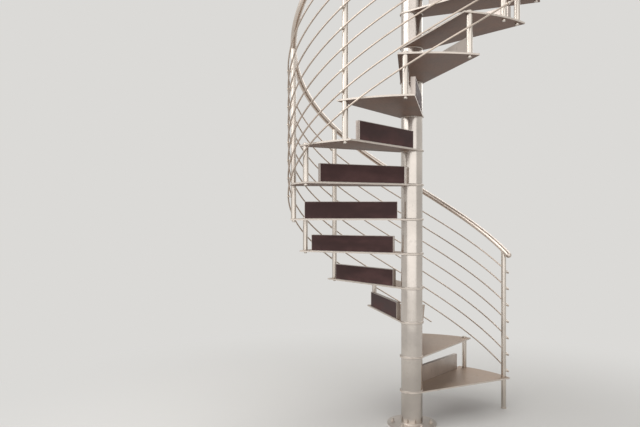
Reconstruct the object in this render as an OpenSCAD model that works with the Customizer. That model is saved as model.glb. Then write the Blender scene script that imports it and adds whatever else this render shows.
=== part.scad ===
// Spiral staircase round a steel column, seen from below as it climbs to a landing.
// Millimetres, +Z up. The origin is on the column's axis, under its base flange.
// The stair climbs counterclockwise seen from above. Angles are from +X towards +Y.

/* [Stair] */
// Height of one step
rise = 225; // [200:0.5:240]
// Turn from one step to the next, in degrees
step_turn = 25.97; // [24:0.01:28]
// Number of treads below the landing
tread_count = 13; // [13:1:13]
// Direction of the first post, at the front of the first tread
start_angle = 33.8; // [0:0.1:90]

/* [Column] */
// Radius of the central column
column_r = 70; // [50:1:75]
// Radius of the base flange
flange_r = 160; // [140:1:200]
// Thickness of the base flange
flange_t = 12; // [8:1:20]
// Pitch circle diameter of the anchor bolts
anchor_pcd = 250; // [210:1:260]
// Radius of each anchor bolt hole
anchor_hole_r = 8; // [5:0.5:10]
// Number of anchor bolts
anchor_count = 6; // [4:1:8]

/* [Treads] */
// Outer radius of the treads
tread_r = 800; // [780:1:804]
// Thickness of the tread plates
tread_t = 10; // [6:1:12]
// How far the front corner reaches before its post, in degrees
front_lap = 3; // [2.5:0.1:5]
// How far the rear corner reaches past its post, in degrees
rear_lap = 3.6; // [3:0.1:5]
// Outer radius of the eye round the column
eye_r = 78; // [76:1:90]

/* [Riser bars] */
// Height of the bar on the rear edge of a tread
bar_h = 112; // [80:1:120]
// Width of the bar
bar_w = 27; // [15:1:30]
// Distance along the tread's rear edge where the bar starts
bar_start = 102; // [95:1:160]
// Distance along that edge where the bar ends
bar_end = 705; // [600:1:720]
// How far the bar stands inside the tread's rear edge
bar_inset = 2; // [0:0.5:10]
// Width of the rim round the dark panel in the bar's rear face
panel_rim = 3; // [2:1:12]
// Depth of the recess that holds the panel
panel_depth = 3; // [2:0.5:8]

/* [Posts] */
// Radius of the circle that the posts stand on
post_circle_r = 778; // [760:1:782]
// Radius of a post
post_r = 17; // [12:0.5:18]
// Radius of the stud that holds a post's foot
stud_r = 6; // [4:0.5:7]
// Radius of the round nut under a tread
nut_r = 11; // [8:0.5:12]
// Height of the round nut
nut_h = 13; // [8:1:16]

/* [Handrail] */
// Radius of the handrail tube
rail_r = 20; // [18:0.5:22]
// Height of the handrail's centre above the line of the tread fronts
rail_rise = 900; // [800:1:950]
// How far the handrail reaches past the newel, in steps
rail_tail = 0.15; // [0.1:0.01:0.3]

/* [Infill rods] */
// Radius of a rod
rod_r = 5; // [4:0.5:7]
// Radius of the circle that the rods follow
rod_circle_r = 813; // [808:1:820]
// Number of rods beside the upper treads
rod_count = 8; // [8:1:8]
// Height of the lowest rod above the line of the tread fronts
rod_low = -78; // [-90:1:-70]
// Height from one rod to the next
rod_gap = 117; // [105:0.5:120]
// How far the rods reach past the newel, in steps
rod_tail = 0.03; // [0.02:0.01:0.1]

/* [Landing] */
// Reach of the landing plate along X
landing_x = 815; // [810:1:850]
// Reach of the landing plate along Y
landing_y = 900; // [820:1:920]
// Thickness of the fixing plate on the landing's open side
fixing_t = 10; // [8:1:15]
// Depth of the landing's edge bars
edge_h = 60; // [40:1:80]
// Thickness of the landing's edge bars
edge_t = 8; // [6:1:12]
// Height of the landing guard's rail above the landing
guard_h = 900; // [850:1:950]
// Radius of the bend in the landing guard
guard_bend = 60; // [50:1:100]

/* [Hidden] */
TWO_DIGITS = ["01", "02", "03", "04", "05", "06", "07", "08", "09", "10", "11", "12", "13"];
TREADS = [for (n = TWO_DIGITS) str("tread_", n)];
RODS = [for (n = [1 : rod_count]) str("infill_rod_", n)];
TALL = [2, 4, 6, 8, 10.66];
BALUSTERS = [for (n = [1 : len(TALL)]) str("baluster_", n)];
TIES = [1, 3, 5, 7, 9, 10, 11, 12];

eps = 0.01;
fine = 96;
round_fn = 48;
rail_sides = 16;
rod_sides = 8;
rings_per_step = 6;
cap_turns = [75, 50, 25];

last_post = tread_count;
landing_z = (tread_count + 1) * rise;
column_top = landing_z + guard_h + 70;
low_rod_start = 1.75;
foot_h = 6;
newel_rim = 3;

edge_offset = eye_r - 4;
edge_reach = 1.25;

guard_x = -30;
guard_back = landing_y - 45;
guard_end = landing_x - 30;
guard_rod_out = rod_circle_r - post_circle_r;
guard_rod_low = 100;
guard_rods_n = 7;
landing_step_y = 225;
fixing_from = 240;
fixing_h = 110;
fixing_bolts_y = 450;
fixing_bolts_z = 50;

// Direction of post number i, counted from the newel, which is 0
function post_angle(i) = start_angle + step_turn * i;
// Unit vectors outwards and along the circle at an angle
function out_dir(a) = [cos(a), sin(a), 0];
function along_dir(a) = [-sin(a), cos(a), 0];
// Height of the line of the tread fronts at step i
function front_line(i) = rise * (i + 1);
function rail_z(i) = front_line(i) + rail_rise;
function rod_z(n, i) = front_line(i) + rod_low + n * rod_gap;
// Slope of a line that climbs with the stair on a circle of radius r, in degrees
function slope(r) = atan(rise / (r * step_turn * PI / 180));
// A point at radius r in the plane, and where a tread's side edge starts inside the eye:
// the front edge has side -1, the rear edge 1
function flat_point(r, a) = [r * cos(a), r * sin(a)];
function edge_foot(corner, side) =
    flat_point(edge_offset, corner + side * acos(edge_offset / tread_r));
// A point on that edge's line, past the tread's outer edge
function edge_far(corner, side) =
    let (foot = edge_foot(corner, side))
        foot + edge_reach * (flat_point(tread_r, corner) - foot);

// A round bar swept along centres, one ring of points at each, with flat ends
module swept_bar(centres, outs, ups, radii, sides) {
    rings = len(centres);
    points = [
        for (k = [0 : rings - 1])
            for (s = [0 : sides - 1])
                centres[k] + radii[k] * (cos(360 * s / sides) * outs[k] + sin(360 * s / sides) * ups[k])
    ];
    walls = [
        for (k = [0 : rings - 2])
            for (s = [0 : sides - 1])
                let (t = (s + 1) % sides)
                    [k * sides + s, (k + 1) * sides + s, (k + 1) * sides + t, k * sides + t]
    ];
    first_end = [for (s = [0 : sides - 1]) s];
    last_end = [for (s = [sides - 1 : -1 : 0]) (rings - 1) * sides + s];
    polyhedron(points, concat([first_end], walls, [last_end]), convexity = 10);
}

// A helical bar from step a to step b, h above the line of the tread fronts. Its ends are
// flat, or domed if turns lists the angles of the rings that close them
module helix_bar(a, b, circle_r, bar_r, h, sides, turns = []) {
    first = ceil(a * rings_per_step + eps);
    last = floor(b * rings_per_step - eps);
    steps = concat([a], [for (k = [first : last]) k / rings_per_step], [b]);
    tilt = slope(circle_r);
    function middle(i) = circle_r * out_dir(post_angle(i)) + [0, 0, front_line(i) + h];
    function tangent(i) = cos(tilt) * along_dir(post_angle(i)) + [0, 0, sin(tilt)];
    function up(i) = cos(tilt) * [0, 0, 1] - sin(tilt) * along_dir(post_angle(i));
    back = [for (n = [len(turns) - 1 : -1 : 0]) turns[n]];
    centres = concat(
        [for (t = turns) middle(a) - bar_r * sin(t) * tangent(a)],
        [for (i = steps) middle(i)],
        [for (t = back) middle(b) + bar_r * sin(t) * tangent(b)]
    );
    places = concat([for (t = turns) a], steps, [for (t = turns) b]);
    radii = bar_r * concat([for (t = turns) cos(t)], [for (i = steps) 1], [for (t = back) cos(t)]);
    outs = [for (i = places) out_dir(post_angle(i))];
    ups = [for (i = places) up(i)];
    swept_bar(centres, outs, ups, radii, sides);
}

// A straight cutter that follows a helical bar where it crosses post i
module bar_cutter(i, circle_r, bar_r, z, reach) {
    rotate([0, 0, post_angle(i)])
        translate([circle_r, 0, z])
            rotate([slope(circle_r) - 90, 0, 0])
                cylinder(h = 2 * reach, r = bar_r, center = true, $fn = fine);
}

// The flat shape of a tread between two corner angles: straight side edges run in to the eye
module tread_outline(front, rear) {
    circle(r = eye_r, $fn = fine);
    intersection() {
        circle(r = tread_r, $fn = 4 * fine);
        polygon([
            [0, 0],
            edge_foot(front, -1),
            edge_far(front, -1),
            flat_point(edge_reach * tread_r, (front + rear) / 2),
            edge_far(rear, 1),
            edge_foot(rear, 1)
        ]);
    }
}

// A round hole down through a plate on the post circle
module post_hole(i, hole_r, z) {
    rotate([0, 0, post_angle(i)])
        translate([post_circle_r, 0, z - 50])
            cylinder(h = 100, r = hole_r, $fn = round_fn);
}

module column_hole(z) {
    translate([0, 0, z - 150])
        cylinder(h = 300, r = column_r, $fn = fine);
}

module base_flange() {
    color("silver")
        difference() {
            cylinder(h = flange_t, r = flange_r, $fn = fine);
            for (n = [0 : anchor_count - 1])
                rotate([0, 0, n * 360 / anchor_count])
                    translate([anchor_pcd / 2, 0, -1])
                        cylinder(h = flange_t + 2, r = anchor_hole_r, $fn = round_fn);
        }
}

module column() {
    color("gainsboro")
        translate([0, 0, flange_t])
            cylinder(h = column_top - flange_t, r = column_r, $fn = fine);
}

module column_cap() {
    cap_r = column_r + 4;
    color("silver")
        translate([0, 0, column_top])
            rotate_extrude($fn = fine)
                polygon([[0, 0], [cap_r, 0], [cap_r, 6], [cap_r - 5, 11], [cap_r / 2, 18], [0, 20]]);
}

// Tread number k, with its eye round the column and the holes for the posts at its corners
module tread(k) {
    z = k * rise;
    color("darkgray")
        difference() {
            translate([0, 0, z - tread_t])
                linear_extrude(height = tread_t)
                    tread_outline(post_angle(k - 1) - front_lap, post_angle(k) + rear_lap);
            column_hole(z);
            post_hole(k - 1, post_r, z);
            post_hole(k, stud_r, z);
            if (k == floor(TALL[len(TALL) - 1]) + 1)
                post_hole(TALL[len(TALL) - 1], stud_r, z);
        }
}

// Places its children on each tread: +X runs outwards along the tread's rear edge, the edge is
// at Y = 0, and the tread's upper face at Z = 0
module on_rear_edges() {
    for (k = [1 : tread_count])
        rotate([0, 0, post_angle(k) + rear_lap - asin(edge_offset / tread_r)])
            translate([0, edge_offset, k * rise])
                children();
}

// A box bar on the rear edge of each tread, with a recess in its rear face
module riser_bars() {
    length = bar_end - bar_start;
    color("silver")
        on_rear_edges()
            difference() {
                translate([bar_start, -bar_inset - bar_w, 0])
                    cube([length, bar_w, bar_h]);
                translate([bar_start + panel_rim, -bar_inset - panel_depth, panel_rim])
                    cube([length - 2 * panel_rim, panel_depth + 1, bar_h - 2 * panel_rim]);
            }
}

// The dark panel in each recess, set back a little from the bar's rear face
module bar_panels() {
    length = bar_end - bar_start - 2 * panel_rim;
    color([0.25, 0.19, 0.18])
        on_rear_edges()
            translate([bar_start + panel_rim, -bar_inset - panel_depth, panel_rim])
                cube([length, panel_depth - 1, bar_h - 2 * panel_rim]);
}

// The stud and round nut that hold a post's foot on a tread whose upper face is at z
module foot_nut(z) {
    translate([0, 0, z - tread_t])
        cylinder(h = tread_t + eps, r = stud_r, $fn = round_fn);
    translate([0, 0, z - tread_t - nut_h])
        rotate_extrude($fn = round_fn)
            polygon([[0, 0], [nut_r - 4, 0], [nut_r - 1, 2], [nut_r, 5], [nut_r, nut_h], [0, nut_h]]);
}

// Stubs that carry the rods on post i
module rod_stubs(i, first_rod) {
    for (n = [first_rod : rod_count - 1])
        rotate([0, 0, post_angle(i)])
            translate([post_circle_r, 0, rod_z(n, i)])
                rotate([0, 90, 0])
                    cylinder(h = rod_circle_r - post_circle_r, r = rod_r + 2, $fn = round_fn);
}

// A post that runs from its foot up to the handrail, coped to it
module tall_post(i, foot_z, first_rod, on_tread) {
    color("gainsboro")
        difference() {
            union() {
                rotate([0, 0, post_angle(i)])
                    translate([post_circle_r, 0, 0]) {
                        translate([0, 0, foot_z])
                            cylinder(h = rail_z(i) - foot_z, r = post_r, $fn = round_fn);
                        if (on_tread)
                            foot_nut(foot_z);
                        else
                            cylinder(h = foot_h, r = post_r + newel_rim, $fn = round_fn);
                    }
                rod_stubs(i, first_rod);
            }
            bar_cutter(i, post_circle_r, rail_r, rail_z(i), 60);
            for (n = [first_rod : rod_count - 1])
                bar_cutter(i, rod_circle_r, rod_r, rod_z(n, i), 30);
        }
}

// Short posts that tie one tread to the tread above it
module tie_posts() {
    color("gainsboro")
        for (i = TIES)
            rotate([0, 0, post_angle(i)])
                translate([post_circle_r, 0, i * rise]) {
                    cylinder(h = rise + 4, r = post_r, $fn = round_fn);
                    translate([0, 0, rise + 4])
                        rotate_extrude($fn = round_fn)
                            polygon([[0, 0], [post_r, 0], [post_r - 2, 4], [post_r / 2, 7], [0, 8]]);
                    foot_nut(0);
                }
}

module handrail() {
    color("silver")
        helix_bar(-rail_tail, last_post + rail_tail, post_circle_r, rail_r, rail_rise, rail_sides, cap_turns);
}

// Rod n, counted from the lowest, which starts at the second tall post
module infill_rod(n) {
    color("silver")
        helix_bar(n == 0 ? low_rod_start : -rod_tail, last_post + rod_tail, rod_circle_r, rod_r,
            rod_low + n * rod_gap, rod_sides);
}

module landing_outline() {
    front = post_angle(last_post) - front_lap;
    circle(r = eye_r, $fn = fine);
    polygon([
        [-eye_r, 0],
        edge_foot(front, -1),
        flat_point(tread_r, front),
        flat_point(tread_r, front + front_lap),
        [sqrt(tread_r * tread_r - landing_step_y * landing_step_y), landing_step_y],
        [landing_x, landing_step_y],
        [landing_x, landing_y],
        [-eye_r, landing_y]
    ]);
}

module landing() {
    color("darkgray")
        difference() {
            union() {
                translate([0, 0, landing_z - tread_t])
                    linear_extrude(height = tread_t)
                        landing_outline();
                translate([0, 0, landing_z - edge_h]) {
                    translate([-eye_r, 90, 0])
                        cube([edge_t, landing_y - 90, edge_h]);
                    translate([-eye_r, landing_y - edge_t, 0])
                        cube([landing_x + eye_r, edge_t, edge_h]);
                    translate([landing_x / 2, landing_step_y, 0])
                        cube([edge_t, landing_y - landing_step_y, edge_h]);
                    translate([90, landing_step_y, 0])
                        cube([landing_x - 90, edge_t, edge_h]);
                }
            }
            column_hole(landing_z);
            post_hole(last_post, post_r, landing_z);
        }
}

module landing_fixing() {
    length = landing_y - fixing_from;
    color("silver")
        translate([landing_x, fixing_from, landing_z - fixing_h])
            difference() {
                cube([fixing_t, length, fixing_h]);
                for (y = [-1, 1] * fixing_bolts_y / 2)
                    for (z = [-1, 1] * fixing_bolts_z / 2)
                        translate([-1, length / 2 + y, fixing_h / 2 + z])
                            rotate([0, 90, 0])
                                cylinder(h = fixing_t + 2, r = anchor_hole_r, $fn = round_fn);
            }
}

// Places of the landing guard's posts: x, y and the direction that their rods lie in
GUARD_POSTS = [
    [guard_x, guard_back / 2, 180],
    [guard_x, guard_back - guard_bend - 20, 180],
    [guard_end / 2, guard_back, 90],
    [guard_end, guard_back, 90]
];

function guard_rod_z(n) = landing_z + guard_rod_low + n * rod_gap;

module guard_posts() {
    color("gainsboro")
        for (p = GUARD_POSTS)
            translate([p[0], p[1], landing_z])
                difference() {
                    union() {
                        cylinder(h = guard_h, r = post_r, $fn = round_fn);
                        cylinder(h = foot_h, r = 2 * post_r, $fn = round_fn);
                        for (n = [0 : guard_rods_n - 1])
                            translate([0, 0, guard_rod_z(n) - landing_z])
                                rotate([0, 90, p[2]])
                                    cylinder(h = guard_rod_out, r = rod_r + 2, $fn = round_fn);
                    }
                    rotate([0, 0, p[2] - 90])
                        translate([0, 0, guard_h])
                            rotate([0, 90, 0])
                                cylinder(h = 120, r = rail_r, center = true, $fn = fine);
                    for (n = [0 : guard_rods_n - 1])
                        rotate([0, 0, p[2] - 90])
                            translate([0, guard_rod_out, guard_rod_z(n) - landing_z])
                                rotate([0, 90, 0])
                                    cylinder(h = 60, r = rod_r, center = true, $fn = round_fn);
                }
}

// A round bar along both guarded sides of the landing, with a bend at the corner
module guard_bar(z, offset_out, bar_r) {
    x = guard_x - offset_out;
    y = guard_back + offset_out;
    bend = guard_bend + offset_out;
    difference() {
        union() {
            translate([x, 0, z])
                rotate([-90, 0, 0])
                    cylinder(h = y - bend, r = bar_r, $fn = round_fn);
            translate([x + bend, y - bend, z])
                rotate([0, 0, 90])
                    rotate_extrude(angle = 90, $fn = fine)
                        translate([bend, 0])
                            circle(r = bar_r, $fn = round_fn);
            translate([x + bend, y, z])
                rotate([0, 90, 0])
                    cylinder(h = guard_end + 35 - x - bend, r = bar_r, $fn = round_fn);
        }
        column_hole(z);
    }
}

module guard_rail() {
    color("silver")
        guard_bar(landing_z + guard_h, 0, rail_r);
}

module guard_rods() {
    color("silver")
        for (n = [0 : guard_rods_n - 1])
            guard_bar(guard_rod_z(n), guard_rod_out, rod_r);
}

base_flange();
column();
column_cap();
for (k = [1 : tread_count])
    tread(k);
riser_bars();
bar_panels();
tall_post(0, 0, 1, false);  // newel_post
tall_post(last_post, last_post * rise, 0, true);  // top_newel
for (n = [0 : len(TALL) - 1])
    tall_post(TALL[n], ceil(TALL[n]) * rise, 0, true);
tie_posts();
handrail();
for (n = [0 : rod_count - 1])
    infill_rod(n);
landing();
landing_fixing();
guard_posts();
guard_rail();
guard_rods();
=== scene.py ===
import math

import bmesh
import bpy
from mathutils import Matrix, Vector


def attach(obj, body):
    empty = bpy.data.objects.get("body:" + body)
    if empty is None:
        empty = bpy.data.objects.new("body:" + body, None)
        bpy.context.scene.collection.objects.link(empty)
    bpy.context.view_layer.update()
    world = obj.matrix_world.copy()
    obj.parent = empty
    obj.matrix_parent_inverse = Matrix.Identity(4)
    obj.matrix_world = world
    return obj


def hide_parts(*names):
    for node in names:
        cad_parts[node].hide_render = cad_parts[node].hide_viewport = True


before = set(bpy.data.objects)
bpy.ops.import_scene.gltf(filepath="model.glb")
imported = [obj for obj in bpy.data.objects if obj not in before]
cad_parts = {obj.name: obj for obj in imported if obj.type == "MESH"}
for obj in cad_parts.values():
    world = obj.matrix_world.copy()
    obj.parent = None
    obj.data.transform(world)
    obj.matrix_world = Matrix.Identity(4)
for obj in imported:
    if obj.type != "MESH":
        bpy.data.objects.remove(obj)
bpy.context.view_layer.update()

bl_info = {
    "name": "Spiral staircase",
    "version": (1, 0, 0),
    "blender": (4, 5, 0),
    "location": "3D View > Sidebar > Staircase",
    "description": "Smooth rails, bevelled plates, small fasteners and finishes "
                   "over the packed staircase",
    "category": "Object",
}

# The staircase's own measures, as its solids have them: metres and radians, +Z up.
# Posts are numbered from the newel, 0, and turn counterclockwise seen from above.
RISE = 0.225
STEP_TURN = math.radians(25.97)
START = math.radians(33.8)
TREADS = 13
PLATE = 0.01
LANDING_Z = (TREADS + 1) * RISE

# The column, its cap and its base flange
COLUMN_R = 0.07
COLUMN_SIDES = 96
COLUMN_TOP = LANDING_Z + 0.97
CAP_R = 0.074
CAP_EDGE = 0.006
CAP_RISE = 0.014
FLANGE_TOP = 0.012
ANCHORS = 6
ANCHOR_CIRCLE = 0.125

# The tall posts, each at its number, and the handrail on them. Its height is that above
# the tread fronts, and its tails are the steps by which it passes the end posts.
POST_CIRCLE = 0.778
POST_R = 0.017
TALL_POSTS = {
    "newel_post": 0, "baluster_1": 2, "baluster_2": 4, "baluster_3": 6,
    "baluster_4": 8, "baluster_5": 10.66, "top_newel": 13,
}
RAIL_HEIGHT = 0.9
RAIL_TAIL = 0.15
RAIL_SIDES = 32

# The infill rods, measured as the handrail is. Their circle is 0.4 mm less than in the
# solids, because round rods reach further out than faceted ones, and the box stays as
# it is. The lowest rod starts higher up the stair than the others.
ROD_CIRCLE = 0.8126
ROD_COUNT = 8
ROD_LOWEST = -0.078
ROD_SPACING = 0.117
ROD_TAIL = 0.03
ROD_CROWN = 0.002
ROD_SIDES = 14
LOW_ROD_START = 1.75

# The landing's guard, and the plate that fixes the landing. A guard post has its x, its
# y, and the direction in degrees in which its rods lie.
GUARD_POSTS = (
    (-0.03, 0.4275, 180),
    (-0.03, 0.775, 180),
    (0.3925, 0.855, 90),
    (0.785, 0.855, 90),
)
GUARD_TOP = LANDING_Z + 0.9
GUARD_ROD_LOWEST = LANDING_Z + 0.1
GUARD_RODS = 7
FIXING_BACK = 0.815
FIXING_FRONT = 0.825
FIXING_BOLTS = [
    (y, z) for y in (0.345, 0.795) for z in (LANDING_Z - 0.08, LANDING_Z - 0.03)]

# Fasteners and trim, which only the visual model has. A washer's radius is told by the
# width of its nut or bolt head across the flats, and the start of a weld ring under a
# rail, CLEAR_OF_RAIL, by the rail's radius.
FASTENER_SIDES = 24
WASHER_SIDES = 32
WASHER_RATIO = 0.68
WASHER = 0.002
WASHER_EDGE = 0.0005
HEX_EDGE = 0.0009
NUT_ACROSS = 0.0215
NUT_HEIGHT = 0.011
STUD_R = 0.0072
STUD_LENGTH = 0.030
STUD_MIDDLE = 0.0045
STUD_CHAMFER = 0.0014
BOLT_ACROSS = 0.021
BOLT_HEIGHT = 0.009
SHANK_R = 0.0078
SLEEVE_WALL = 0.0028
SLEEVE_LENGTH = 0.017
SLEEVE_EDGE = 0.0011
SET_SCREW_SIDES = 16
SET_SCREW_R = 0.0031
SET_SCREW_LENGTH = 0.0026
SET_SCREW_DROP = 0.003
SET_SCREW_EDGE = 0.0005
SET_SCREW_WALL = 0.0012
SET_SCREW_HOLLOW = 0.0009
FOOT_SCREWS = 4
FOOT_SCREW_R = 0.0042
FOOT_SCREW_HEIGHT = 0.003
FOOT_SCREW_EDGE = 0.12 * FOOT_SCREW_R
FOOT_SCREW_SOCKET = 0.0019
FOOT_SCREW_CIRCLE = 0.0255
FOOT_DISC_TOP = LANDING_Z + 0.0059
WELD_POINTS = 48
CLEAR_OF_RAIL = 3

# Bevels that a user has no need to change
FLANGE_BEVEL = 0.0015
CAP_BEVEL = 0.0012
PANEL_BEVEL = 0.0008
POST_BEVEL = 0.0006
FIXING_BEVEL = 0.001
GUARD_RAIL_BEVEL = 0.001
GUARD_ROD_BEVEL = 0.0004

# How meshes are made: the distance within which points are merged, the angle under
# which faces are, the rings in each step of a swept tube, the steps by which it is
# swept too far before its ends are cut, and the turns of the rings in a dome
MERGE = 1e-5
FLAT = math.radians(0.5)
RINGS_A_STEP = 16
CUT_SPARE = 0.12
TUBE_DOME = (20, 40, 60, 78)
CAP_DOME = (12, 24, 36, 48, 60, 72, 82)

# Finishes: how the steel of posts and rails is brushed, how far from the column's axis
# feet wear the treads, how far from there the wear fades, and how high above a tread
# the painted reflection of the tread below fades on the bar panels
POST_BRUSHING = {"roughness": 0.24, "grain": (9, 9, 1), "wear": 0.5, "depth": 0.02}
RAIL_BRUSHING = {"roughness": 0.28, "grain": (1, 14, 14), "wear": 0.4, "depth": 0.012}
GUARD_BRUSHING = {"roughness": 0.28, "grain": (1, 1, 14), "wear": 0.4, "depth": 0.012}
FOOT_PATH = 0.5
FOOT_PATH_FADE = (0.05, 0.24)
TREAD_REFLECTION_FADE = (0.004, 0.05)

# The stage. A lamp has its name, its place, the height at which it faces the column's
# axis, its width, its height and its watts.
LAMPS = (
    ("front softbox", (0.0, -4.8, 3.6), 3.6, 11.5, 7.1, 200),
    ("key softbox", (-3.8, -1.5, 4.2), 1.6, 4.4, 4.2, 110),
    ("top softbox", (-0.4, -0.4, 7.0), 1.6, 8.0, 7.6, 180),
    ("back softbox", (2.4, 4.8, 4.4), 1.6, 4.0, 3.0, 60),
)
FLOOR_R = 60
FLOOR_SIDES = 96
FLOOR_FADE = (1.0, 3.4)
SKY_AS_LIGHT = 0.45
CAMERA_SPOT = (0, -4.268, 1.384)
CAMERA_TURN = math.radians(8.14)
CAMERA_SENSOR = 36
CAMERA_LENS = 36.08
CAMERA_REACH = 200


def post_angle(i):
    """Direction of post number i."""
    return START + STEP_TURN * i


def outwards(i):
    """Unit vector from the column's axis to post i."""
    return Vector((math.cos(post_angle(i)), math.sin(post_angle(i)), 0))


def helix_point(i, radius, height):
    """The point at step i of a line that climbs with the stair, at that height above
    the tread fronts."""
    return radius * outwards(i) + Vector((0, 0, RISE * (i + 1) + height))


def helix_tilt(radius):
    """Slope of such a line."""
    return math.atan(RISE / (radius * STEP_TURN))


def helix_way(i, radius):
    """Unit vector uphill along such a line."""
    tilt = helix_tilt(radius)
    side = Vector((-math.sin(post_angle(i)), math.cos(post_angle(i)), 0))
    return math.cos(tilt) * side + Vector((0, 0, math.sin(tilt)))


def placed(x, y, z, turn=0):
    """The matrix of a place, turned by that many degrees round Z."""
    return Matrix.Translation((x, y, z)) @ Matrix.Rotation(math.radians(turn), 4, "Z")


# Modelling helpers

def only(piece):
    """Selects one object, and nothing else."""
    bpy.ops.object.select_all(action="DESELECT")
    piece.select_set(True)
    bpy.context.view_layer.objects.active = piece


def new_piece(name, add, **settings):
    """Adds a primitive with one of Blender's add operators and names it."""
    bpy.ops.object.select_all(action="DESELECT")
    add(**settings)
    piece = bpy.context.object
    piece.name = piece.data.name = name
    return piece


def settle(piece):
    """Puts the object's place, turn and size into its mesh."""
    only(piece)
    bpy.ops.object.transform_apply(location=True, rotation=True, scale=True)


def cylinder(name, sides, radius, length, middle=0, **settings):
    """A settled cylinder round the Z axis, its middle at that height."""
    piece = new_piece(name, bpy.ops.mesh.primitive_cylinder_add, vertices=sides,
                      radius=radius, depth=length, location=(0, 0, middle), **settings)
    settle(piece)
    return piece


def modified(piece, kind, **settings):
    """Adds a modifier and applies it."""
    only(piece)
    modifier = piece.modifiers.new(kind.title(), kind)
    for key, value in settings.items():
        setattr(modifier, key, value)
    bpy.ops.object.modifier_apply(modifier=modifier.name)
    return piece


def bevelled(piece, width, segments=2, sharper_than=30):
    """Rounds the edges that turn by more than that many degrees."""
    return modified(piece, "BEVEL", width=width, segments=segments,
                    limit_method="ANGLE", angle_limit=math.radians(sharper_than))


def smooth(piece, degrees=32):
    """Smooth shading, with edges sharper than that left crisp and flat faces flat."""
    only(piece)
    bpy.ops.object.shade_smooth_by_angle(angle=math.radians(degrees))
    return modified(piece, "WEIGHTED_NORMAL", keep_sharp=True)


def looks_up(face):
    """Whether this is an upright cylinder's upper end."""
    return face.normal.z > 0.9


def looks_down(face):
    """Whether this is an upright cylinder's lower end."""
    return face.normal.z < -0.9


def pick_faces(piece, wanted=lambda face: True):
    """Opens the piece in edit mode with its wanted faces selected, or all of them."""
    only(piece)
    bpy.ops.object.mode_set(mode="EDIT")
    bpy.ops.mesh.select_mode(type="FACE")
    bpy.ops.mesh.select_all(action="DESELECT")
    shape = bmesh.from_edit_mesh(piece.data)
    for face in shape.faces:
        if wanted(face):
            face.select_set(True)
    bmesh.update_edit_mesh(piece.data)


def close_edit(outwards_again=False):
    """Leaves edit mode, with the normals turned outwards again if asked."""
    if outwards_again:
        bpy.ops.mesh.select_all(action="SELECT")
        bpy.ops.mesh.normals_make_consistent(inside=False)
    bpy.ops.object.mode_set(mode="OBJECT")


def stepped(piece, wanted, inset, lift):
    """Insets the wanted end face and lifts its middle, for a chamfer or a hollow."""
    pick_faces(piece, wanted)
    bpy.ops.mesh.inset(thickness=inset, depth=0.0)
    bpy.ops.transform.translate(value=(0, 0, lift))
    close_edit()
    return piece


def copied(piece, name, place):
    """A copy with its own mesh, moved by a matrix."""
    twin = bpy.data.objects.new(name, piece.data.copy())
    bpy.context.scene.collection.objects.link(twin)
    twin.data.transform(place)
    return twin


def joined(pieces, name):
    """One object made of several."""
    bpy.ops.object.select_all(action="DESELECT")
    for piece in pieces:
        piece.select_set(True)
    bpy.context.view_layer.objects.active = pieces[0]
    bpy.ops.object.join()
    pieces[0].name = pieces[0].data.name = name
    return pieces[0]


def repeated(model, name, places):
    """Copies of a model at each place, joined as one piece. The model is removed."""
    piece = joined([copied(model, name, place) for place in places], name)
    bpy.data.objects.remove(model)
    return piece


def dressed(piece, finish, slot, *nodes):
    """Gives the piece its finish, lets it ride on the stair, and hides the nodes that
    it stands for. The slot is not used."""
    piece.data.materials.clear()
    piece.data.materials.append(finish)
    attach(piece, "root")
    if nodes:
        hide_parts(*nodes)
    return piece


def eased(node, finish, slot, bevel=0.0):
    """A copy of a CAD node, merged, with its sharp edges eased by a bevel, in the
    node's place."""
    piece = copied(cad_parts[node], "shown_" + node, Matrix.Identity(4))
    pick_faces(piece)
    bpy.ops.mesh.remove_doubles(threshold=MERGE)
    bpy.ops.mesh.dissolve_limited(angle_limit=FLAT)
    close_edit()
    if bevel:
        bevelled(piece, bevel, sharper_than=40)
    return dressed(smooth(piece), finish, slot, node)


def dome(centre, way, rise, turns):
    """Closes a tube's selected end face with a dome, one ring for each turn, given in
    degrees."""
    before = 0
    for turn in turns:
        now = math.radians(turn)
        lift = rise * (math.sin(now) - math.sin(before))
        bpy.ops.mesh.extrude_region_move(TRANSFORM_OT_translate={"value": lift * way})
        size = math.cos(now) / math.cos(before)
        bpy.ops.transform.resize(value=(size, size, size),
                                 center_override=centre + rise * math.sin(now) * way)
        before = now


def helix_tube(name, radius, thickness, first, last, height, sides, crown):
    """A round tube that climbs with the stair from step first to step last: a ring
    swept by a screw, cut square at both ends, and closed with domes as high as the
    crown. The ring is upright and the tube slopes, so the ring is made taller."""
    steps = last - first + 2 * CUT_SPARE
    tube = new_piece(name, bpy.ops.mesh.primitive_circle_add, vertices=sides,
                     radius=thickness, rotation=(math.pi / 2, 0, 0))
    tube.scale = (1, 1 / math.cos(helix_tilt(radius)), 1)
    tube.location = (radius, 0, RISE * (first - CUT_SPARE + 1) + height)
    settle(tube)
    tube.rotation_euler = (0, 0, post_angle(first - CUT_SPARE))
    settle(tube)
    rings = round(RINGS_A_STEP * steps)
    modified(tube, "SCREW", axis="Z", angle=STEP_TURN * steps,
             screw_offset=RISE * steps, steps=rings, render_steps=rings,
             use_merge_vertices=False)
    # A cut goes through the faces near its end only, since its plane meets others too.
    reach = 4 * thickness + radius * STEP_TURN * CUT_SPARE
    for i, side in ((first, -1), (last, 1)):
        end = helix_point(i, radius, height)
        way = side * helix_way(i, radius)
        pick_faces(tube, lambda face: (face.calc_center_median() - end).length < reach)
        bpy.ops.mesh.bisect(plane_co=end, plane_no=way, use_fill=True, clear_outer=True)
        dome(end, way, crown, TUBE_DOME)
        close_edit()
    pick_faces(tube)
    close_edit(outwards_again=True)
    return smooth(tube, degrees=40)


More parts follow.
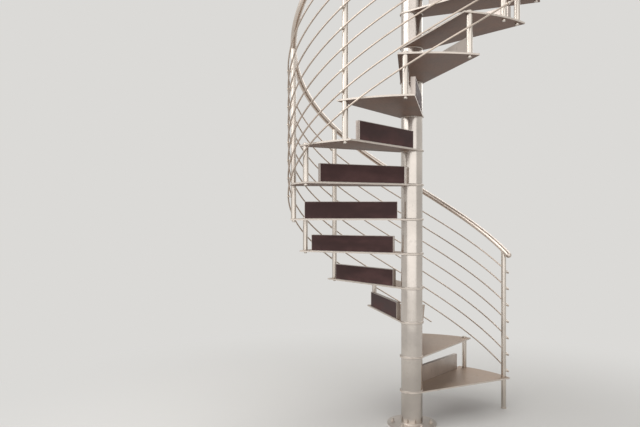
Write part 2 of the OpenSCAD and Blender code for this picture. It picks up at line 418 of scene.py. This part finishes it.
def rail_weld(spot, rail, thickness):
    """The weld bead where a post meets a rail: a ring as wide as the post, sent up from
    a spot below it onto the rail's skin, and given a round section."""
    ring = new_piece("weld", bpy.ops.mesh.primitive_circle_add, vertices=WELD_POINTS,
                     radius=POST_R, location=spot)
    modified(ring, "SHRINKWRAP", target=rail, wrap_method="PROJECT", use_project_z=True,
             use_negative_direction=False, use_positive_direction=True)
    settle(ring)
    bpy.ops.object.convert(target="CURVE")
    bead = bpy.context.object
    bead.data.bevel_depth = thickness
    bead.data.bevel_resolution = 2
    bpy.ops.object.convert(target="MESH")
    return smooth(bpy.context.object, degrees=60)


def hex_bolt(name, across, height):
    """A hexagon bolt head with its washer, standing on the plane Z = 0."""
    washer = cylinder("washer", WASHER_SIDES, WASHER_RATIO * across, WASHER, WASHER / 2)
    head = cylinder("head", 6, across / math.sqrt(3), height, WASHER + height / 2)
    smooth(bevelled(washer, WASHER_EDGE))
    smooth(bevelled(head, HEX_EDGE))
    return joined([washer, head], name)


# Shader maths

class Value:
    """A shader socket. Python's operators on it add Math nodes."""

    def __init__(self, finish, socket):
        self.finish = finish
        self.socket = socket

    def __add__(self, other):
        return self.finish.maths("ADD", self, other)

    def __radd__(self, other):
        return self.finish.maths("ADD", other, self)

    def __sub__(self, other):
        return self.finish.maths("SUBTRACT", self, other)

    def __rsub__(self, other):
        return self.finish.maths("SUBTRACT", other, self)

    def __mul__(self, other):
        return self.finish.maths("MULTIPLY", self, other)

    def __rmul__(self, other):
        return self.finish.maths("MULTIPLY", other, self)

    def __pow__(self, other):
        return self.finish.maths("POWER", self, other)

    def between(self, low, high):
        """0 below low, 1 above high, and smooth in between."""
        return self.finish.node(
            "ShaderNodeMapRange", {"interpolation_type": "SMOOTHSTEP"},
            {"Value": self, "From Min": low, "From Max": high})


class Finish:
    """A material with one Principled shader, and what drives it."""

    def __init__(self, name):
        self.material = bpy.data.materials.new(name)
        self.material.use_nodes = True
        self.tree = self.material.node_tree
        self.shader = self.tree.nodes["Principled BSDF"]

    def node(self, kind, settings, sockets, output=0):
        """Adds a node: its settings first, then the values or links of its sockets."""
        made = self.tree.nodes.new(kind)
        for key, value in settings.items():
            setattr(made, key, value)
        self.fill(made, sockets)
        return Value(self, made.outputs[output])

    def fill(self, made, sockets):
        """Gives a node's sockets, by name or number, their values or links."""
        for key, value in sockets.items():
            socket = made.inputs[key]
            if isinstance(value, Value):
                self.tree.links.new(value.socket, socket)
            elif socket.type == "RGBA":
                socket.default_value = (*value[:3], 1)
            else:
                socket.default_value = value

    def surface(self, **sockets):
        """Sets the Principled shader's sockets, with _ for each space."""
        self.fill(self.shader,
                  {key.replace("_", " "): value for key, value in sockets.items()})
        return self.material

    def maths(self, operation, *values):
        """A Math node on values or links."""
        return self.node("ShaderNodeMath", {"operation": operation},
                         dict(enumerate(values)))

    def place(self):
        """The Object coordinates."""
        return self.node("ShaderNodeTexCoord", {}, {}, "Object")

    def part(self, vector, axis):
        """One axis of a vector."""
        return self.node("ShaderNodeSeparateXYZ", {}, {"Vector": vector}, axis)

    def axes(self, names="XYZ"):
        """The Object coordinates, one by one."""
        spot = self.place()
        return [self.part(spot, axis) for axis in names]

    def along_helix(self, radius):
        """Coordinates along and across a line that climbs with the stair. They start in
        the gap between the line's two ends, so that no seam shows."""
        x, y, z = self.axes()
        gap = post_angle((TREADS - math.tau / STEP_TURN) / 2) + math.pi
        ahead = x * math.cos(gap) + y * math.sin(gap)
        aside = y * math.cos(gap) - x * math.sin(gap)
        run = self.maths("ARCTAN2", aside, ahead) * radius
        tilt = helix_tilt(radius)
        return self.node("ShaderNodeCombineXYZ", {}, {
            "X": run * math.cos(tilt) + z * math.sin(tilt),
            "Y": z * math.cos(tilt) - run * math.sin(tilt),
            "Z": (x * x + y * y) ** 0.5})

    def along_tread(self):
        """Coordinates along and across each tread's middle line, told by its height."""
        x, y, z = self.axes()
        number = self.maths("ROUND", (z + PLATE / 2) * (1 / RISE))
        middle = START + STEP_TURN * (number - 0.5)
        cosine = self.maths("COSINE", middle)
        sine = self.maths("SINE", middle)
        return self.node("ShaderNodeCombineXYZ", {}, {
            "X": x * cosine + y * sine, "Y": y * cosine - x * sine, "Z": z})

    def noise(self, scale, stretch=(1, 1, 1), detail=3.0, roughness=0.5, where=None):
        """Noise on Object coordinates, or on those of where, squeezed on each axis."""
        squeezed = self.node("ShaderNodeMapping", {"vector_type": "POINT"},
                             {"Vector": where or self.place(), "Scale": stretch})
        return self.node("ShaderNodeTexNoise", {}, {
            "Vector": squeezed, "Scale": scale, "Detail": detail,
            "Roughness": roughness})

    def blend(self, amount, low, high):
        """A colour between low and high."""
        return self.node("ShaderNodeMix", {"data_type": "RGBA"},
                         {"Factor": amount, 6: low, 7: high}, 2)

    def bump(self, height, strength, distance):
        """A normal that follows a height."""
        return self.node("ShaderNodeBump", {}, {
            "Height": height, "Strength": strength, "Distance": distance})


def shade(tone, factor):
    """The colour, lighter or darker."""
    return tuple(min(1, part * factor) for part in tone[:3])


def brushed_steel(name, tone, roughness, grain=(1, 1, 1), wear=1.0, depth=0.12,
                  helix=None):
    """Steel with fine scratches along the grain, faint smears, and a few dull spots. On
    a rail or rod that climbs with the stair, helix is its radius, and the grain follows
    it."""
    finish = Finish(name)
    where = finish.along_helix(helix) if helix else None
    scratches = finish.noise(60, grain, detail=2.0, roughness=0.6, where=where)
    smears = finish.noise(5)
    spots = finish.noise(38, detail=2.0).between(0.62, 0.72)
    tones = finish.blend(smears.between(0.3, 0.7), shade(tone, 0.88), shade(tone, 1.08))
    return finish.surface(
        Base_Color=finish.blend(spots * (0.3 * wear), tones, shade(tone, 0.7)),
        Metallic=1.0,
        Roughness=roughness + 0.12 * (smears - 0.5) + 0.1 * wear * (scratches - 0.5)
        + 0.08 * wear * spots,
        Normal=finish.bump(scratches, depth, 0.0006),
    )


def plate_steel(name, tones, fanned):
    """Satin plate: bare and worn on its upper face, with painted shade underneath,
    where the colour is darker and browner and the steel duller, and with a painted
    highlight on its edges, which are paler. Fanned plates are brushed along each tread
    and worn by feet."""
    top, under = tones.tread, tones.underside
    finish = Finish(name)
    up = finish.part(finish.node("ShaderNodeNewGeometry", {}, {}, "Normal"), "Z")
    above = up.between(0.3, 0.7)
    # Painted shade: faces that look down are coloured darker and browner
    below = (0 - up).between(0.3, 0.7)
    grain = finish.along_tread() if fanned else finish.place()
    mottle = finish.noise(7, detail=4.0, where=grain)
    scratches = finish.noise(45, (1, 9, 1), roughness=0.6, where=grain)
    streaks = finish.noise(16, (1, 16, 1), detail=4.0, roughness=0.6, where=grain)
    stains = finish.noise(26, where=grain).between(0.6, 0.74)
    patches = (streaks * 0.5 + mottle * 0.5).between(0.35, 0.65)
    bare = finish.blend(patches, shade(top, 0.92), shade(top, 1.06))
    # Painted shade: the darker, browner colour of the underside
    dull = finish.blend(patches, shade(under, 0.76), shade(under, 1.18))
    # Edges, whose faces look neither up nor down, take the paler rim colour: a painted
    # highlight
    plain = finish.blend(below, finish.blend(above, tones.rim, bare), dull)
    worn = 0.0
    if fanned:
        off_path = finish.maths("ABSOLUTE", finish.part(grain, "X") - FOOT_PATH)
        worn = above * (1 - off_path.between(*FOOT_PATH_FADE)) * mottle
    return finish.surface(
        Base_Color=finish.blend(stains * 0.25 + worn * 0.3, plain, shade(top, 0.8)),
        Metallic=0.5 + 0.3 * above - 0.25 * below,
        Roughness=0.46 + 0.06 * below + 0.15 * (mottle - 0.5)
        + 0.12 * (scratches - 0.5) + 0.06 * stains - 0.12 * worn,
        Normal=finish.bump(scratches, 0.1, 0.0008),
    )


def satin_enamel(name, tone):
    """Dark satin paint with a soft orange-peel, long pale smears that are painted
    reflections, and a painted reflection of the tread below, which lightens the paint
    just above each tread."""
    finish = Finish(name)
    peel = finish.noise(260, detail=1.0)
    # Painted reflections: long pale patches on the dark paint
    smears = finish.noise(4, (1, 1, 3), detail=4.0).between(0.42, 0.72)
    height = finish.part(finish.place(), "Z")
    # Painted reflection of the tread below: the paint is paler just above each tread
    low = 1 - finish.maths("MODULO", height, RISE).between(*TREAD_REFLECTION_FADE)
    tread_reflection = low * finish.noise(11, detail=4.0).between(0.35, 0.65)
    return finish.surface(
        Base_Color=finish.blend(smears * 0.35 + tread_reflection * 0.35, tone, shade(tone, 2.6)),
        Roughness=0.55 + 0.12 * smears + 0.15 * tread_reflection,
        Normal=finish.bump(peel, 0.08, 0.0004),
        Specular_IOR_Level=0.15,
    )


# Sizes and colours that a user would change

class StairSizes(bpy.types.PropertyGroup):
    """Radii, edges and weld beads"""
    rail_radius: bpy.props.FloatProperty(
        name="Handrail radius", description="Radius of the handrail tube",
        default=0.02, min=0.01, max=0.03, precision=4, unit="LENGTH")
    rod_radius: bpy.props.FloatProperty(
        name="Rod radius", description="Radius of an infill rod",
        default=0.005, min=0.003, max=0.008, precision=4, unit="LENGTH")
    plate_edge: bpy.props.FloatProperty(
        name="Plate edge", description="Width of the bevel on the treads and landing",
        default=0.0015, min=0.0, max=0.004, precision=4, unit="LENGTH")
    bar_edge: bpy.props.FloatProperty(
        name="Bar edge", description="Width of the bevel on the riser bars",
        default=0.001, min=0.0, max=0.0014, precision=4, unit="LENGTH")
    weld_radius: bpy.props.FloatProperty(
        name="Weld bead", description="Radius of the weld beads round the column",
        default=0.004, min=0.001, max=0.006, precision=4, unit="LENGTH")
    post_weld: bpy.props.FloatProperty(
        name="Post weld", description="Radius of the weld beads between posts and rail",
        default=0.0018, min=0.001, max=0.004, precision=4, unit="LENGTH")


class StairColours(bpy.types.PropertyGroup):
    """Colours of the steel, the enamel and the floor"""
    column: bpy.props.FloatVectorProperty(
        name="Column", description="Steel of the central column", subtype="COLOR",
        default=(0.59, 0.54, 0.495), min=0, max=1)
    post: bpy.props.FloatVectorProperty(
        name="Posts", description="Steel of the posts", subtype="COLOR",
        default=(0.61, 0.555, 0.50), min=0, max=1)
    rail: bpy.props.FloatVectorProperty(
        name="Handrail", description="Steel of the handrail", subtype="COLOR",
        default=(0.66, 0.58, 0.515), min=0, max=1)
    rod: bpy.props.FloatVectorProperty(
        name="Rods", description="Steel of the infill rods", subtype="COLOR",
        default=(0.54, 0.46, 0.395), min=0, max=1)
    tread: bpy.props.FloatVectorProperty(
        name="Tread top", description="Upper face of the treads", subtype="COLOR",
        default=(0.36, 0.272, 0.21), min=0, max=1)
    # Painted shade: the treads' lower face is coloured darker and browner than the top
    underside: bpy.props.FloatVectorProperty(
        name="Tread underside", description="Lower face of the treads", subtype="COLOR",
        default=(0.156, 0.090, 0.063), min=0, max=1)
    # Painted highlight: the plates' edges are coloured paler than their faces
    rim: bpy.props.FloatVectorProperty(
        name="Plate edges", description="Ground edges of the treads and the landing",
        subtype="COLOR", default=(0.63, 0.565, 0.505), min=0, max=1)
    bar: bpy.props.FloatVectorProperty(
        name="Riser bars", description="Light steel of the riser bars",
        subtype="COLOR", default=(0.52, 0.46, 0.42), min=0, max=1)
    panel: bpy.props.FloatVectorProperty(
        name="Bar panels", description="Dark enamel of the panels in the riser bars",
        subtype="COLOR", default=(0.057, 0.030, 0.029), min=0, max=1)
    floor: bpy.props.FloatVectorProperty(
        name="Floor", description="Pale studio floor", subtype="COLOR",
        default=(0.71, 0.70, 0.68), min=0, max=1)


class STAIR_OT_column(bpy.types.Operator):
    """The column with its cap, base flange, anchor bolts and weld beads"""
    bl_idname = "stair.column"
    bl_label = "Column"

    def execute(self, context):
        tone = context.scene.stair_colours.column
        polished = brushed_steel("column polished", tone, roughness=0.21,
                                 grain=(1, 1, 14), wear=0.6, depth=0.02)
        dull = brushed_steel("flange steel", tone, roughness=0.42)
        eased("column", polished, "column_steel")
        dressed(self.cap(), polished, "column_steel", "column_cap")
        eased("base_flange", dull, "flange_steel", FLANGE_BEVEL)
        bead = new_piece("bead", bpy.ops.mesh.primitive_torus_add,
                         major_segments=COLUMN_SIDES, minor_segments=8,
                         major_radius=COLUMN_R,
                         minor_radius=context.scene.stair_sizes.weld_radius)
        smooth(bead, degrees=60)
        tops = [k * RISE for k in range(1, TREADS + 2)]
        heights = tops + [z - PLATE for z in tops] + [FLANGE_TOP]
        beads = repeated(bead, "column_welds", [placed(0, 0, z) for z in heights])
        dressed(beads, dull, "column_steel")
        bolts = repeated(self.anchor(), "anchor_nuts", [
            placed(0, 0, 0, n * 360 / ANCHORS) @ placed(ANCHOR_CIRCLE, 0, FLANGE_TOP)
            for n in range(ANCHORS)])
        dressed(bolts, dull, "flange_steel")
        return {"FINISHED"}

    def cap(self):
        """The low dome that closes the column's top."""
        rim = COLUMN_TOP + CAP_EDGE
        cap = cylinder("cap", COLUMN_SIDES, CAP_R, CAP_EDGE, COLUMN_TOP + CAP_EDGE / 2)
        pick_faces(cap, looks_up)
        dome(Vector((0, 0, rim)), Vector((0, 0, 1)), CAP_RISE, CAP_DOME)
        close_edit()
        return smooth(bevelled(cap, CAP_BEVEL, sharper_than=60))

    def anchor(self):
        """A stud with its nut and washer, standing on the plane Z = 0."""
        nut = hex_bolt("nut", NUT_ACROSS, NUT_HEIGHT)
        stud = cylinder("stud", FASTENER_SIDES, STUD_R, STUD_LENGTH, STUD_MIDDLE)
        smooth(stepped(stud, looks_up, STUD_CHAMFER, STUD_CHAMFER))
        return joined([nut, stud], "anchor")


class STAIR_OT_treads(bpy.types.Operator):
    """The treads, with their edges eased"""
    bl_idname = "stair.treads"
    bl_label = "Treads"

    def execute(self, context):
        plate = plate_steel("tread plate", context.scene.stair_colours, fanned=True)
        edge = context.scene.stair_sizes.plate_edge
        for k in range(1, TREADS + 1):
            eased("tread_%02d" % k, plate, "tread_plate", edge)
        return {"FINISHED"}


class STAIR_OT_riser_bars(bpy.types.Operator):
    """The box bars on the treads' rear edges, with their dark panels"""
    bl_idname = "stair.riser_bars"
    bl_label = "Riser bars"

    def execute(self, context):
        tones = context.scene.stair_colours
        light = brushed_steel("bar steel", tones.bar, roughness=0.36, grain=(1, 1, 8))
        dark = satin_enamel("panel enamel", tones.panel)
        eased("riser_bars", light, "riser_bar", context.scene.stair_sizes.bar_edge)
        eased("bar_panels", dark, "dark_panel", PANEL_BEVEL)
        return {"FINISHED"}


class STAIR_OT_posts(bpy.types.Operator):
    """The newels, balusters and tie posts, with the holders that carry the rods"""
    bl_idname = "stair.posts"
    bl_label = "Posts"

    def execute(self, context):
        tone = context.scene.stair_colours.post
        steel = brushed_steel("post steel", tone, **POST_BRUSHING)
        for node in (*TALL_POSTS, "tie_posts"):
            eased(node, steel, "post_steel", POST_BEVEL)
        places = []
        for i in TALL_POSTS.values():
            lowest = 1 if i < LOW_ROD_START else 0
            for n in range(lowest, ROD_COUNT):
                places.append(self.crossing(i, ROD_LOWEST + n * ROD_SPACING))
        for x, y, facing in GUARD_POSTS:
            for n in range(GUARD_RODS):
                height = GUARD_ROD_LOWEST + n * ROD_SPACING
                places.append(placed(x, y, 0, facing)
                              @ placed(ROD_CIRCLE - POST_CIRCLE, 0, height))
        holder = self.holder(context.scene.stair_sizes.rod_radius)
        dressed(repeated(holder, "rod_holders", places), steel, "post_steel")
        return {"FINISHED"}

    def crossing(self, i, height):
        """Where a rod passes post i: X outwards, Y uphill along the rod."""
        out = outwards(i)
        way = helix_way(i, ROD_CIRCLE)
        turn = Matrix((out, way, out.cross(way))).transposed().to_4x4()
        return placed(*helix_point(i, ROD_CIRCLE, height)) @ turn

    def holder(self, rod_radius):
        """A short sleeve round the rod with a small set screw in its underside."""
        sleeve = cylinder("sleeve", FASTENER_SIDES, rod_radius + SLEEVE_WALL,
                          SLEEVE_LENGTH, rotation=(math.pi / 2, 0, 0))
        smooth(bevelled(sleeve, SLEEVE_EDGE, segments=3))
        screw = cylinder("screw", SET_SCREW_SIDES, SET_SCREW_R, SET_SCREW_LENGTH,
                         -rod_radius - SET_SCREW_DROP)
        bevelled(screw, SET_SCREW_EDGE)
        smooth(stepped(screw, looks_down, SET_SCREW_WALL, SET_SCREW_HOLLOW))
        return joined([sleeve, screw], "holder")


class STAIR_OT_handrail(bpy.types.Operator):
    """The helical handrail tube with domed ends, and the weld beads on the posts"""
    bl_idname = "stair.handrail"
    bl_label = "Handrail"

    def execute(self, context):
        sizes = context.scene.stair_sizes
        tone = context.scene.stair_colours.rail
        steel = brushed_steel("rail steel", tone, helix=POST_CIRCLE, **RAIL_BRUSHING)
        dull = brushed_steel("weld steel", tone, roughness=0.45)
        rail = helix_tube("shown_handrail", POST_CIRCLE, sizes.rail_radius, -RAIL_TAIL,
                          TREADS + RAIL_TAIL, RAIL_HEIGHT, RAIL_SIDES,
                          sizes.rail_radius)
        dressed(rail, steel, "rail_steel", "handrail")
        below = RAIL_HEIGHT - CLEAR_OF_RAIL * sizes.rail_radius
        beads = [rail_weld(helix_point(i, POST_CIRCLE, below), rail, sizes.post_weld)
                 for i in TALL_POSTS.values()]
        dressed(joined(beads, "post_welds"), dull, "post_steel")
        return {"FINISHED"}


class STAIR_OT_rods(bpy.types.Operator):
    """The helical infill rods"""
    bl_idname = "stair.rods"
    bl_label = "Infill rods"

    def execute(self, context):
        tone = context.scene.stair_colours.rod
        steel = brushed_steel("rod steel", tone, helix=ROD_CIRCLE, **RAIL_BRUSHING)
        radius = context.scene.stair_sizes.rod_radius
        lowest = self.low_rod("shown_infill_rod_1", radius, LOW_ROD_START)
        dressed(lowest, steel, "rod_steel", "infill_rod_1")
        whole = self.low_rod("rod", radius, -ROD_TAIL)
        for n in range(1, ROD_COUNT):
            name = "infill_rod_%d" % (n + 1)
            raised = placed(0, 0, n * ROD_SPACING)
            dressed(copied(whole, "shown_" + name, raised), steel, "rod_steel", name)
        bpy.data.objects.remove(whole)
        return {"FINISHED"}

    def low_rod(self, name, radius, first):
        """A rod at the lowest rod's height, from step first to the stair's top."""
        return helix_tube(name, ROD_CIRCLE, radius, first, TREADS + ROD_TAIL,
                          ROD_LOWEST, ROD_SIDES, ROD_CROWN)


class STAIR_OT_landing(bpy.types.Operator):
    """The landing plate with its fixing, bolts and guard"""
    bl_idname = "stair.landing"
    bl_label = "Landing"

    def execute(self, context):
        tones = context.scene.stair_colours
        sizes = context.scene.stair_sizes
        plate = plate_steel("landing plate", tones, fanned=False)
        dull = brushed_steel("fixing steel", tones.column, roughness=0.4,
                             grain=(1, 8, 1))
        posts = brushed_steel("guard post steel", tones.post, **POST_BRUSHING)
        rail = brushed_steel("guard rail steel", tones.rail, **GUARD_BRUSHING)
        rods = brushed_steel("guard rod steel", tones.rod, **GUARD_BRUSHING)
        eased("landing", plate, "landing_plate", sizes.plate_edge)
        eased("landing_fixing", dull, "flange_steel", FIXING_BEVEL)
        eased("guard_posts", posts, "post_steel", POST_BEVEL)
        handrail = eased("guard_rail", rail, "rail_steel", GUARD_RAIL_BEVEL)
        eased("guard_rods", rods, "rod_steel", GUARD_ROD_BEVEL)
        self.fixing_bolts(dull)
        self.foot_screws(dull)
        below = GUARD_TOP - CLEAR_OF_RAIL * sizes.rail_radius
        beads = [rail_weld((x, y, below), handrail, sizes.post_weld)
                 for x, y, _ in GUARD_POSTS]
        dressed(joined(beads, "guard_welds"), dull, "post_steel")
        return {"FINISHED"}

    def fixing_bolts(self, finish):
        """Bolts through the fixing plate, their heads on its inner side."""
        head = hex_bolt("bolt_head", BOLT_ACROSS, BOLT_HEIGHT)
        depth = FIXING_FRONT - FIXING_BACK
        shank = cylinder("shank", FASTENER_SIDES, SHANK_R, depth, -depth / 2)
        bolt = joined([head, smooth(shank)], "bolt")
        inwards = Matrix.Rotation(-math.pi / 2, 4, "Y")
        bolts = repeated(bolt, "fixing_bolts", [
            placed(FIXING_BACK, y, z) @ inwards for y, z in FIXING_BOLTS])
        dressed(bolts, finish, "flange_steel")

    def foot_screws(self, finish):
        """Four socket screws in the foot disc of each guard post."""
        height = FOOT_SCREW_HEIGHT
        screw = cylinder("screw", FASTENER_SIDES, FOOT_SCREW_R, height, height / 2)
        bevelled(screw, FOOT_SCREW_EDGE)
        cutter = cylinder("cutter", 6, FOOT_SCREW_SOCKET, height, 0.9 * height)
        modified(screw, "BOOLEAN", object=cutter, operation="DIFFERENCE",
                 solver="EXACT")
        bpy.data.objects.remove(cutter)
        spot = placed(FOOT_SCREW_CIRCLE, 0, FOOT_DISC_TOP)
        screws = repeated(smooth(screw), "foot_screws", [
            placed(x, y, 0, (n + 0.5) * 360 / FOOT_SCREWS) @ spot
            for x, y, _ in GUARD_POSTS for n in range(FOOT_SCREWS)])
        dressed(screws, finish, "flange_steel")


class STAIR_OT_stage(bpy.types.Operator):
    """The pale floor, the lamps, the sky and the camera"""
    bl_idname = "stair.stage"
    bl_label = "Stage"

    def execute(self, context):
        tone = context.scene.stair_colours.floor
        self.floor(tone)
        self.sky(context.scene, tone)
        for lamp in LAMPS:
            self.softbox(*lamp)
        self.camera(context.scene)
        context.scene.view_settings.view_transform = "Standard"
        return {"FINISHED"}

    def floor(self, tone):
        """A wide floor that fades into the sky's colour far from the stair."""
        floor = new_piece("studio_floor", bpy.ops.mesh.primitive_circle_add,
                          vertices=FLOOR_SIDES, radius=FLOOR_R, fill_type="NGON")
        finish = Finish("studio floor")
        x, y = finish.axes("XY")
        far = ((x * x + y * y) ** 0.5).between(*FLOOR_FADE)
        shader = finish.surface(Base_Color=tone, Roughness=0.9)
        glow = finish.node("ShaderNodeEmission", {}, {"Color": tone, "Strength": 1.0})
        mix = finish.node("ShaderNodeMixShader", {}, {
            0: far, 1: Value(finish, finish.shader.outputs[0]), 2: glow})
        finish.tree.links.new(mix.socket,
                              finish.tree.nodes["Material Output"].inputs[0])
        floor.data.materials.append(shader)

    def sky(self, scene, tone):
        """A plain sky: its full tone for the camera and in reflections, softer as
        light."""
        world = bpy.data.worlds.new("studio sky")
        world.use_nodes = True
        scene.world = world
        tree = world.node_tree
        background = tree.nodes["Background"]
        path = tree.nodes.new("ShaderNodeLightPath")
        seen = tree.nodes.new("ShaderNodeMath")
        seen.operation = "MAXIMUM"
        tree.links.new(path.outputs["Is Camera Ray"], seen.inputs[0])
        tree.links.new(path.outputs["Is Glossy Ray"], seen.inputs[1])
        strength = tree.nodes.new("ShaderNodeMapRange")
        strength.inputs["To Min"].default_value = SKY_AS_LIGHT
        strength.inputs["To Max"].default_value = 1.0
        tree.links.new(seen.outputs[0], strength.inputs["Value"])
        tree.links.new(strength.outputs[0], background.inputs["Strength"])
        background.inputs["Color"].default_value = (*tone[:3], 1)

    def softbox(self, name, spot, facing_height, width, height, watts):
        """A rectangular lamp that faces the column."""
        way = Vector((0, 0, facing_height)) - Vector(spot)
        aim = way.to_track_quat("-Z", "Y").to_euler()
        bpy.ops.object.light_add(type="AREA", location=spot, rotation=aim)
        lamp = bpy.context.object
        lamp.name = name
        lamp.data.shape = "RECTANGLE"
        lamp.data.size = width
        lamp.data.size_y = height
        lamp.data.energy = watts

    def camera(self, scene):
        """Level, at eye height, 4.27 m in front of the column, turned so that the
        column stands right of the middle."""
        bpy.ops.object.camera_add(location=CAMERA_SPOT,
                                  rotation=(math.pi / 2, 0, CAMERA_TURN))
        camera = bpy.context.object
        camera.data.sensor_width = CAMERA_SENSOR
        camera.data.lens = CAMERA_LENS
        camera.data.clip_end = CAMERA_REACH
        scene.camera = camera


class STAIR_PT_panel(bpy.types.Panel):
    """Lists the staircase's sizes, colours and pieces"""
    bl_idname = "STAIR_PT_panel"
    bl_label = "Spiral staircase"
    bl_space_type = "VIEW_3D"
    bl_region_type = "UI"
    bl_category = "Staircase"

    def draw(self, context):
        for group in (context.scene.stair_sizes, context.scene.stair_colours):
            box = self.layout.box()
            for name in group.bl_rna.properties.keys():
                if name not in ("rna_type", "name"):
                    box.prop(group, name)
        for maker in MAKERS:
            self.layout.operator(maker.bl_idname)


MAKERS = (
    STAIR_OT_column,
    STAIR_OT_treads,
    STAIR_OT_riser_bars,
    STAIR_OT_posts,
    STAIR_OT_handrail,
    STAIR_OT_rods,
    STAIR_OT_landing,
    STAIR_OT_stage,
)
CLASSES = (StairSizes, StairColours, *MAKERS, STAIR_PT_panel)


def register():
    for cls in CLASSES:
        bpy.utils.register_class(cls)
    bpy.types.Scene.stair_sizes = bpy.props.PointerProperty(type=StairSizes)
    bpy.types.Scene.stair_colours = bpy.props.PointerProperty(type=StairColours)


def unregister():
    del bpy.types.Scene.stair_colours
    del bpy.types.Scene.stair_sizes
    for cls in reversed(CLASSES):
        bpy.utils.unregister_class(cls)


def main():
    register()
    bpy.ops.stair.column()
    bpy.ops.stair.treads()
    bpy.ops.stair.riser_bars()
    bpy.ops.stair.posts()
    bpy.ops.stair.handrail()
    bpy.ops.stair.rods()
    bpy.ops.stair.landing()
    bpy.ops.stair.stage()


if __name__ == "__main__":
    main()
